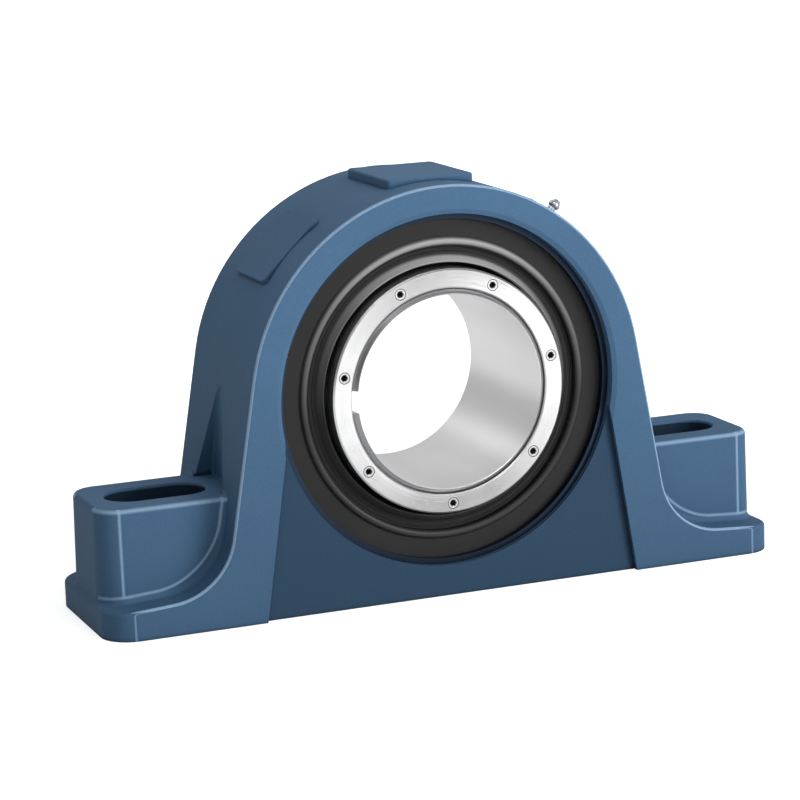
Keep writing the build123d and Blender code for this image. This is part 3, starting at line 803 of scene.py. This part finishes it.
def carrier_section():
    """Seal carrier: O-ring groove outside, ball-shaped seat inside, broad round bead in front."""
    back, face = 23.0, 36.2
    rim, chamfer = 89.95, 0.3
    groove_back, groove_front, groove = 28.0, 31.4, 87.35
    bead_radius, bead_reach = 75.9, 2.1
    seat_ball, seat_front = 81.65, 34.6
    outside = [(back, rim - chamfer), (back + chamfer, rim),
               (groove_back, rim), (groove_back, groove), (groove_front, groove), (groove_front, rim),
               (face - chamfer, rim), (face, rim - chamfer), (face, bead_radius + 2.5)]
    bead = arc(face, bead_radius, bead_reach, 10, 205, 16)
    return outside + bead + seat_arc(seat_ball, seat_front, back, 8)


def seal_section():
    """Seal ring: ball-shaped rim, ribbed face, forward dust lip, inner lip with the spring's groove."""
    ball, back, face, wall = 81.3, 24.4, 34.0, 31.0
    rib, rib_slope, rib_width = 0.35, 0.3, 1.1
    dust_tip, dust_radius = 37.9, 65.3
    lip_radius, lip_slope = 62.026, 1.2
    spring_back, spring_front, spring_edge, spring_floor = 25.3, 27.3, 65.126, 64.226
    rim = seat_arc(ball, back, face, 8)
    ribs = []
    for top in (72.9, 70.9):
        foot = top - rib_width
        ribs += [(face, top), (face + rib, top - rib_slope), (face + rib, foot + rib_slope), (face, foot)]
    lip_root = [(34.1, 69.8), (34.25, 69.2), (34.7, 68.7), (35.8, 67.95), (37.0, 67.1)]
    dust_lip = lip_root + arc(37.85, 65.9, 0.62, -20, 125, 7)
    bore = [(dust_tip, dust_radius), (29.9, dust_radius), (28.6, lip_radius + lip_slope),
            (28.6 - lip_slope, lip_radius), (26.2, lip_radius), (26.2 - lip_slope, lip_radius + lip_slope)]
    groove = [(25.0, spring_edge), (spring_back, spring_edge), (spring_back, spring_floor),
              (spring_front, spring_floor), (spring_front, spring_edge)]
    web = [(wall, 67.5), (wall, 74.55), (back, 74.55)]
    return rim + ribs[:-1] + dust_lip + bore + groove + web


def screw_mesh(radius, length):
    """A cone-point grub screw along +Y: threads outside, hexagon socket in its front end at y 0."""
    screw = settings().screw
    core = radius - screw.thread_depth
    rim_depth = 0.35 * mm
    points_round = 36
    crease = 25
    skin = LoopMesh(points_round)

    def circle(reach, y):
        return lambda angle: (reach * cos(angle), y, reach * sin(angle))

    def hexagon(y):
        def corner(angle):
            side = tau / 6
            reach = screw.socket / 2 / cos(angle % side - side / 2)
            return reach * cos(angle), y, reach * sin(angle)
        return corner

    skin.add(circle(0.35 * screw.socket, screw.socket_depth + 0.2 * screw.socket))
    skin.add(hexagon(screw.socket_depth))
    skin.add(hexagon(rim_depth))
    skin.add(circle(0.64 * screw.socket, 0.0))
    skin.add(circle(core, 0.0))
    turns = int((length - 3 * screw.pitch) / screw.pitch)
    for turn in range(turns):
        y = (turn + 0.5) * screw.pitch
        skin.add(circle(core, y))
        skin.add(circle(radius, y + 0.5 * screw.pitch))
    skin.add(circle(core, (turns + 0.5) * screw.pitch))
    skin.add(circle(core, length - 1.2 * screw.pitch))
    skin.add(circle(0.45 * radius, length))
    skin.cap_ends()
    return skin.mesh("grub_screw", crease)


class NodeGroup:
    """A Geometry Nodes tree under way, with one method for its nodes."""

    def __init__(self, name, inputs):
        self.tree = bpy.data.node_groups.new(name, "GeometryNodeTree")
        self.tree.interface.new_socket("Geometry", in_out="INPUT", socket_type="NodeSocketGeometry")
        for label, (kind, value) in inputs.items():
            socket = self.tree.interface.new_socket(label, in_out="INPUT", socket_type=kind)
            if value is not None:
                socket.default_value = value
        self.tree.interface.new_socket("Geometry", in_out="OUTPUT", socket_type="NodeSocketGeometry")
        self.given = self.tree.nodes.new("NodeGroupInput").outputs

    def node(self, kind, choices=None, values=None):
        """A node of one kind: its settings first, then its sockets' values or links."""
        made = self.tree.nodes.new(kind)
        for key, choice in (choices or {}).items():
            setattr(made, key, choice)
        for key, value in (values or {}).items():
            if isinstance(value, bpy.types.NodeSocket):
                self.tree.links.new(value, made.inputs[key])
            else:
                made.inputs[key].default_value = value
        return made

    def maths(self, operation, first, second=0.0):
        """A number worked out from one or two others."""
        return self.node("ShaderNodeMath", {"operation": operation}, {0: first, 1: second}).outputs[0]

    def end(self, geometry, material):
        """Realizes the instances, sets the material and closes the tree."""
        real = self.node("GeometryNodeRealizeInstances", None, {0: geometry}).outputs[0]
        coloured = self.node("GeometryNodeSetMaterial", None, {"Geometry": real, "Material": material})
        output = self.tree.nodes.new("NodeGroupOutput")
        self.tree.links.new(coloured.outputs[0], output.inputs[0])
        return self.tree


def grow(name, tree, **inputs):
    """Runs a Geometry Nodes tree on an empty mesh and gives its result as a plain mesh piece."""
    piece = bpy.data.objects.new(name, bpy.data.meshes.new(name))
    bpy.context.scene.collection.objects.link(piece)
    modifier = piece.modifiers.new(name, "NODES")
    modifier.node_group = tree
    ids = {item.name: item.identifier for item in tree.interface.items_tree if item.in_out == "INPUT"}
    for label, value in inputs.items():
        modifier[ids[label.replace("_", " ")]] = value
    plain_mesh(piece, name)
    return piece


def circle_of_screws(material):
    """A tree that stands copies of one screw evenly on a circle round the shaft's axis."""
    group = NodeGroup("screws on a circle", {
        "Screw": ("NodeSocketObject", None),
        "Count": ("NodeSocketInt", 7),
        "Radius": ("NodeSocketFloat", 0.05),
        "Place": ("NodeSocketVector", (0, 0, 0)),
    })
    points = group.node("GeometryNodeMeshCircle", None,
                        {"Vertices": group.given["Count"], "Radius": group.given["Radius"]})
    screw = group.node("GeometryNodeObjectInfo", None, {"Object": group.given["Screw"]})
    upright = group.node("GeometryNodeTransform", None,
                         {"Geometry": points.outputs[0], "Rotation": (radians(90), radians(90), 0)})
    copies = group.node("GeometryNodeInstanceOnPoints", None,
                        {"Points": upright.outputs[0], "Instance": screw.outputs["Geometry"]})
    placed = group.node("GeometryNodeTransform", None,
                        {"Geometry": copies.outputs[0], "Translation": group.given["Place"]})
    return group.end(placed.outputs[0], material)


def coiled_ring(material):
    """A tree that winds fine wire into a closed spring round the shaft's axis."""
    group = NodeGroup("coiled ring", {
        "Radius": ("NodeSocketFloat", 0.065),
        "Coil": ("NodeSocketFloat", 0.0008),
        "Wire": ("NodeSocketFloat", 0.0002),
        "Turns": ("NodeSocketInt", 300),
        "Place": ("NodeSocketVector", (0, 0, 0)),
    })
    steps_per_turn = 9
    wire_sides = 5
    count = group.maths("MULTIPLY", group.given["Turns"], steps_per_turn)
    ring = group.node("GeometryNodeCurvePrimitiveCircle", None, {"Resolution": count, "Radius": 1.0})
    share = group.node("GeometryNodeSplineParameter").outputs["Factor"]
    round_ring = group.maths("MULTIPLY", share, tau)
    round_coil = group.maths("MULTIPLY", round_ring, group.given["Turns"])
    out = group.maths("MULTIPLY", group.maths("COSINE", round_coil), group.given["Coil"])
    side = group.maths("MULTIPLY", group.maths("SINE", round_coil), group.given["Coil"])
    reach = group.maths("ADD", out, group.given["Radius"])
    across = group.maths("MULTIPLY", group.maths("COSINE", round_ring), reach)
    upward = group.maths("MULTIPLY", group.maths("SINE", round_ring), reach)
    point = group.node("ShaderNodeCombineXYZ", None, {0: across, 1: side, 2: upward}).outputs[0]
    path = group.node("GeometryNodeSetPosition", None, {"Geometry": ring.outputs[0], "Position": point})
    wire = group.node("GeometryNodeCurvePrimitiveCircle", None,
                      {"Resolution": wire_sides, "Radius": group.given["Wire"]})
    tube = group.node("GeometryNodeCurveToMesh", None,
                      {"Curve": path.outputs[0], "Profile Curve": wire.outputs[0]})
    placed = group.node("GeometryNodeTransform", None,
                        {"Geometry": tube.outputs[0], "Translation": group.given["Place"]})
    return group.end(placed.outputs[0], material)


class PILLOWBLOCK_OT_housing(bpy.types.Operator):
    """Paints the cast housing"""
    bl_idname = "pillow_block.housing"
    bl_label = "Housing"

    def execute(self, context):
        dress_cast("housing", housing_paint(), "cast_housing", 19)
        return {"FINISHED"}


class PILLOWBLOCK_OT_bearing(bpy.types.Operator):
    """Finishes the bearing's rings, rollers and cages"""
    bl_idname = "pillow_block.bearing"
    bl_label = "Bearing"

    def execute(self, context):
        ring = turned_steel("ground_ring", (0.56, 0.56, 0.57), 0.24, 0.004 * mm)
        roller = ground_steel("polished_roller", (0.62, 0.62, 0.64), 0.12)
        brass = cage_brass()
        for node in ("outer_ring", "inner_ring", "guide_ring"):
            dress_turned(node, ring, f"steel_{node}")
        for end in ("front", "rear"):
            dress_cast(f"rollers_{end}", roller, f"polished_rollers_{end}", 30)
            dress_cast(f"cage_{end}", brass, f"brass_cage_{end}", 30)
        return {"FINISHED"}


class PILLOWBLOCK_OT_seals(bpy.types.Operator):
    """Makes the seal carriers, seal rings, garter springs and O-rings"""
    bl_idname = "pillow_block.seals"
    bl_label = "Seals"

    def execute(self, context):
        seal = settings().seal
        rubber = seal_rubber("seal_rubber", seal.colour, 0.46)
        coated = seal_rubber("black_coated_steel", seal.colour, 0.42)
        wire = ground_steel("spring_wire", (0.6, 0.6, 0.6), 0.25)
        coil = coiled_ring(wire)
        gauge = 0.2 * mm
        for end, side in (("front", -1), ("rear", 1)):
            carrier = turn_section(f"coated_carrier_{end}", carrier_section(), side)
            finish_piece(carrier, [f"seal_carrier_{end}"], coated)
            ring = turn_section(f"rubber_seal_{end}", seal_section(), side)
            finish_piece(ring, [f"seal_ring_{end}"], rubber)
            dress_turned(f"o_ring_{end}", rubber, f"rubber_o_ring_{end}", 50)
            middle, reach = mid_and_reach(f"garter_spring_{end}")
            spring = grow(f"coiled_garter_{end}", coil, Radius=reach.x - reach.y, Coil=reach.y - gauge,
                          Wire=gauge, Turns=300, Place=middle)
            finish_piece(spring, [f"garter_spring_{end}"], wire)
        return {"FINISHED"}


class PILLOWBLOCK_OT_retaining_rings(bpy.types.Operator):
    """Finishes the two spiral retaining rings"""
    bl_idname = "pillow_block.retaining_rings"
    bl_label = "Retaining rings"

    def execute(self, context):
        dark = turned_steel("blued_ring", settings().steel.blued_colour, 0.36, 0.01 * mm)
        for end in ("front", "rear"):
            dress_turned(f"retaining_ring_{end}", dark, f"spiral_ring_{end}")
        return {"FINISHED"}


class PILLOWBLOCK_OT_sleeve(bpy.types.Operator):
    """Finishes the stepped sleeve and its bright collar"""
    bl_idname = "pillow_block.sleeve"
    bl_label = "Sleeve and collar"

    def execute(self, context):
        steel = settings().steel
        bright = turned_steel("bright_collar", steel.collar_colour, 0.30, 0.09 * mm)
        dress_turned("mounting_collar", bright, "machined_collar")
        dress_turned("stepped_sleeve", bored_sleeve(), "slit_sleeve")
        return {"FINISHED"}


class PILLOWBLOCK_OT_screws(bpy.types.Operator):
    """Puts threaded grub screws in the collar"""
    bl_idname = "pillow_block.screws"
    bl_label = "Grub screws"

    def execute(self, context):
        nodes = [name for name in frame["nodes"] if name.startswith("grub_screw_")]
        first, reach = mid_and_reach("grub_screw_1")
        steel = bright_screw()
        pattern = bpy.data.objects.new("screw_pattern", screw_mesh(reach.x, 2 * reach.y))
        bpy.context.scene.collection.objects.link(pattern)
        screws = grow("collar_screws", circle_of_screws(steel), Screw=pattern, Count=len(nodes),
                      Radius=axis_height - first.z, Place=Vector((0, first.y - reach.y, axis_height)))
        bpy.data.objects.remove(pattern)
        finish_piece(screws, sorted(nodes), steel)
        return {"FINISHED"}


class PILLOWBLOCK_OT_nipple(bpy.types.Operator):
    """Finishes the grease nipple and its valve"""
    bl_idname = "pillow_block.nipple"
    bl_label = "Grease nipple"

    def execute(self, context):
        zinc = ground_steel("zinc_plate", (0.42, 0.44, 0.47), 0.28)
        for node in ("grease_nipple", "nipple_ball", "nipple_spring"):
            dress_cast(node, zinc, f"plated_{node}", 30)
        return {"FINISHED"}


def studio_floor():
    """White floor that keeps the part's shadow and turns plain white further out."""
    size = 14.0
    near_end = 0.28
    far_end = 1.12
    mesh = bpy.data.meshes.new("studio_floor")
    corners = [(-size, -size, 0), (size, -size, 0), (size, size, 0), (-size, size, 0)]
    mesh.from_pydata(corners, [], [(0, 1, 2, 3)])
    floor = bpy.data.objects.new("studio_floor", mesh)
    bpy.context.scene.collection.objects.link(floor)
    finish = Finish("studio_floor")
    lit = finish.node("ShaderNodeBsdfDiffuse", None, {"Color": (0.86, 0.86, 0.86, 1)})
    seen = finish.seen_by("Camera", "Transmission") + finish.seen_by("Glossy") * 0.3
    distance = finish.vector_maths("LENGTH", finish.place)
    far = finish.ramp(distance / size, (near_end / size, 0.0), (far_end / size, 1.0))
    near_glow = settings().stage.floor_glow
    strength = seen * (near_glow + far * (1 - near_glow))
    glow = finish.node("ShaderNodeEmission", None, {"Strength": strength})
    both = finish.node("ShaderNodeAddShader", None, {0: finish.take(lit), 1: finish.take(glow)})
    mesh.materials.append(finish.close(both))


def studio_world():
    """Soft light, weaker from the left, the rear and above. The camera sees it as plain white."""
    stage = settings().stage
    world = bpy.data.worlds.new("studio")
    bpy.context.scene.world = world
    sky = Shading(world)
    across, along, upward = sky.split(sky.take(sky.node("ShaderNodeTexCoord"), "Generated"))
    side = sky.ramp(across * 0.5 + 0.5, (0.0, stage.left_level), (0.32, 0.9), (1.0, 1.0))
    height = sky.ramp(upward, (0.0, 1.0), (1.0, stage.top_level))
    depth = sky.ramp(along * 0.5 + 0.5, (0.4, 1.0), (0.9, stage.rear_level))
    direct = sky.seen_by("Camera", "Transmission")
    glossy = sky.seen_by("Glossy")
    soft = side * height * depth * (glossy + (1 - glossy) * stage.soft_light)
    level = direct + (1 - direct) * soft
    sky.close(sky.node("ShaderNodeBackground", None, {"Color": (1, 1, 1, 1), "Strength": level}))


def softbox(name, place, aim, width, height, power):
    """A rectangular area lamp that faces a point."""
    lamp = bpy.data.lights.new(name, "AREA")
    lamp.shape = "RECTANGLE"
    lamp.size = width
    lamp.size_y = height
    lamp.energy = power
    piece = bpy.data.objects.new(name, lamp)
    bpy.context.scene.collection.objects.link(piece)
    piece.location = place
    piece.rotation_euler = (Vector(aim) - Vector(place)).to_track_quat("-Z", "Y").to_euler()


def photo_camera():
    """The camera as the photograph had it, aimed from the bore's front end."""
    stage = settings().stage
    level = Vector((sin(stage.azimuth), -cos(stage.azimuth), 0)) * cos(stage.elevation)
    back = level + Vector((0, 0, sin(stage.elevation)))
    across = Vector((cos(stage.azimuth), sin(stage.azimuth), 0))
    above = back.cross(across)
    right = across * cos(stage.roll) + above * sin(stage.roll)
    up = above * cos(stage.roll) - across * sin(stage.roll)
    camera = bpy.data.cameras.new("photo_camera")
    camera.lens = stage.lens
    camera.sensor_width = 36
    camera.clip_end = 100
    piece = bpy.data.objects.new("photo_camera", camera)
    bpy.context.scene.collection.objects.link(piece)
    scale = stage.distance * camera.sensor_width / camera.lens
    target = Vector((0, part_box("housing")[0][1], axis_height))
    place = target + back * stage.distance - right * stage.offset[0] * scale + up * stage.offset[1] * scale
    piece.matrix_world = Matrix.Translation(place) @ Matrix((right, up, back)).transposed().to_4x4()
    bpy.context.scene.camera = piece


class PILLOWBLOCK_OT_stage(bpy.types.Operator):
    """Adds the floor, the soft lamps and the camera"""
    bl_idname = "pillow_block.stage"
    bl_label = "Studio"

    def execute(self, context):
        context.scene.view_settings.view_transform = "Standard"
        studio_floor()
        studio_world()
        aim = (0, 0, axis_height)
        softbox("key_softbox", (1.5, -1.75, 0.75), aim, width=1.1, height=1.1, power=37)
        softbox("top_softbox", (0.0, -0.95, 1.35), aim, width=1.6, height=0.25, power=8)
        softbox("rear_softbox", (0.4, 1.2, 1.7), aim, width=1.2, height=1.2, power=5)
        softbox("fill_softbox", (-1.0, 1.5, 1.6), aim, width=1.2, height=1.2, power=8)
        photo_camera()
        return {"FINISHED"}


piece_operators = (
    PILLOWBLOCK_OT_housing,
    PILLOWBLOCK_OT_bearing,
    PILLOWBLOCK_OT_seals,
    PILLOWBLOCK_OT_retaining_rings,
    PILLOWBLOCK_OT_sleeve,
    PILLOWBLOCK_OT_screws,
    PILLOWBLOCK_OT_nipple,
    PILLOWBLOCK_OT_stage,
)


class PILLOWBLOCK_PT_panel(bpy.types.Panel):
    """Lists the part's pieces and their settings"""
    bl_idname = "PILLOWBLOCK_PT_panel"
    bl_label = "Pillow Block"
    bl_space_type = "VIEW_3D"
    bl_region_type = "UI"
    bl_category = "Pillow Block"

    def draw(self, context):
        layout = self.layout
        for operator in piece_operators:
            layout.operator(operator.bl_idname)
        for name in ("paint", "steel", "seal", "screw", "stage"):
            group = getattr(context.scene.pillow_block, name)
            box = layout.box()
            box.label(text=name.title())
            for key in group.__annotations__:
                box.prop(group, key)


setting_groups = (
    PaintSettings,
    SteelSettings,
    SealSettings,
    ScrewSettings,
    StageSettings,
    PillowBlockSettings,
)
all_classes = setting_groups + piece_operators + (PILLOWBLOCK_PT_panel,)


def register():
    for kind in all_classes:
        bpy.utils.register_class(kind)
    bpy.types.Scene.pillow_block = bpy.props.PointerProperty(type=PillowBlockSettings)


def unregister():
    del bpy.types.Scene.pillow_block
    for kind in reversed(all_classes):
        bpy.utils.unregister_class(kind)


def main():
    register()
    for operator in piece_operators:
        step = operator.bl_idname.split(".")[1]
        getattr(bpy.ops.pillow_block, step)()


if __name__ == "__main__":
    main()
